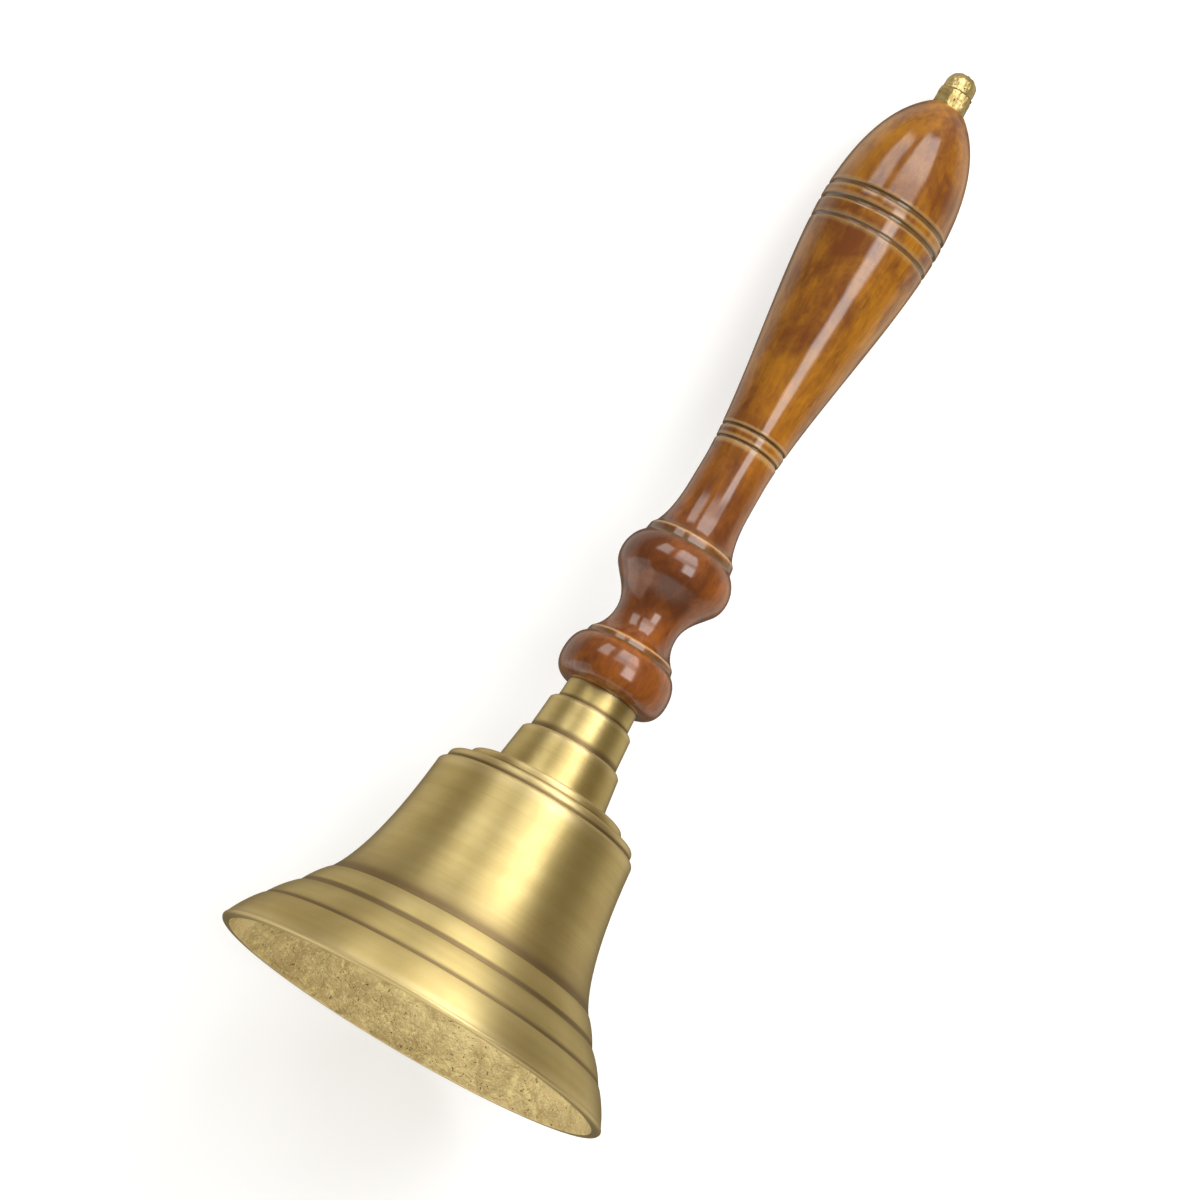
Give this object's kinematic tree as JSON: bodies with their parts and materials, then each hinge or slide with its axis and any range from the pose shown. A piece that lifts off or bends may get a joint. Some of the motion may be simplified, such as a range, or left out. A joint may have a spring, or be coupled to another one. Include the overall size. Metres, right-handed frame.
{
  "type": "hand bell",
  "caption": "Brass hand bell with a flared mouth, a stepped neck, a turned wooden handle under a domed nut, and a free-swinging clapper.",
  "frame": {"origin": "centre of the bell's mouth, in the plane of the lip that the bell stands on", "axes": "+Z along the bell's axis, up from the mouth to the acorn nut; +X along the hinge pin at rest"},
  "size_m": [0.1026, 0.1026, 0.2716],
  "materials": {
    "satin_brass": "satin, turned and antiqued",
    "lacquered_wood": "gloss lacquer",
    "cast_brass": "as cast",
    "zinc_steel": "zinc plated"
  },
  "bodies": {
    "bell": {"bell_shell": "satin_brass", "neck_collar": "satin_brass", "handle": "lacquered_wood", "tie_rod": "zinc_steel", "acorn_nut": "cast_brass", "crown_washer": "cast_brass", "clamp_nut": "zinc_steel", "swivel_nut": "zinc_steel"},
    "hanger": {"stirrup": "cast_brass", "hinge_pin": "zinc_steel"},
    "clapper": {"clapper_rod": "cast_brass", "clapper_ball": "cast_brass", "clapper_nut": "zinc_steel"}
  },
  "joints": [
    {"name": "hanger_swivel", "type": "hinge", "parent": "bell", "child": "hanger", "pos_m": [0, 0, 0.054], "axis": [0, 0, 1], "continuous": true},
    {"name": "clapper_swing", "type": "hinge", "parent": "hanger", "child": "clapper", "pos_m": [0, 0, 0.0465], "axis": [1, 0, 0], "range_deg": [-48, 48]}
  ]
}
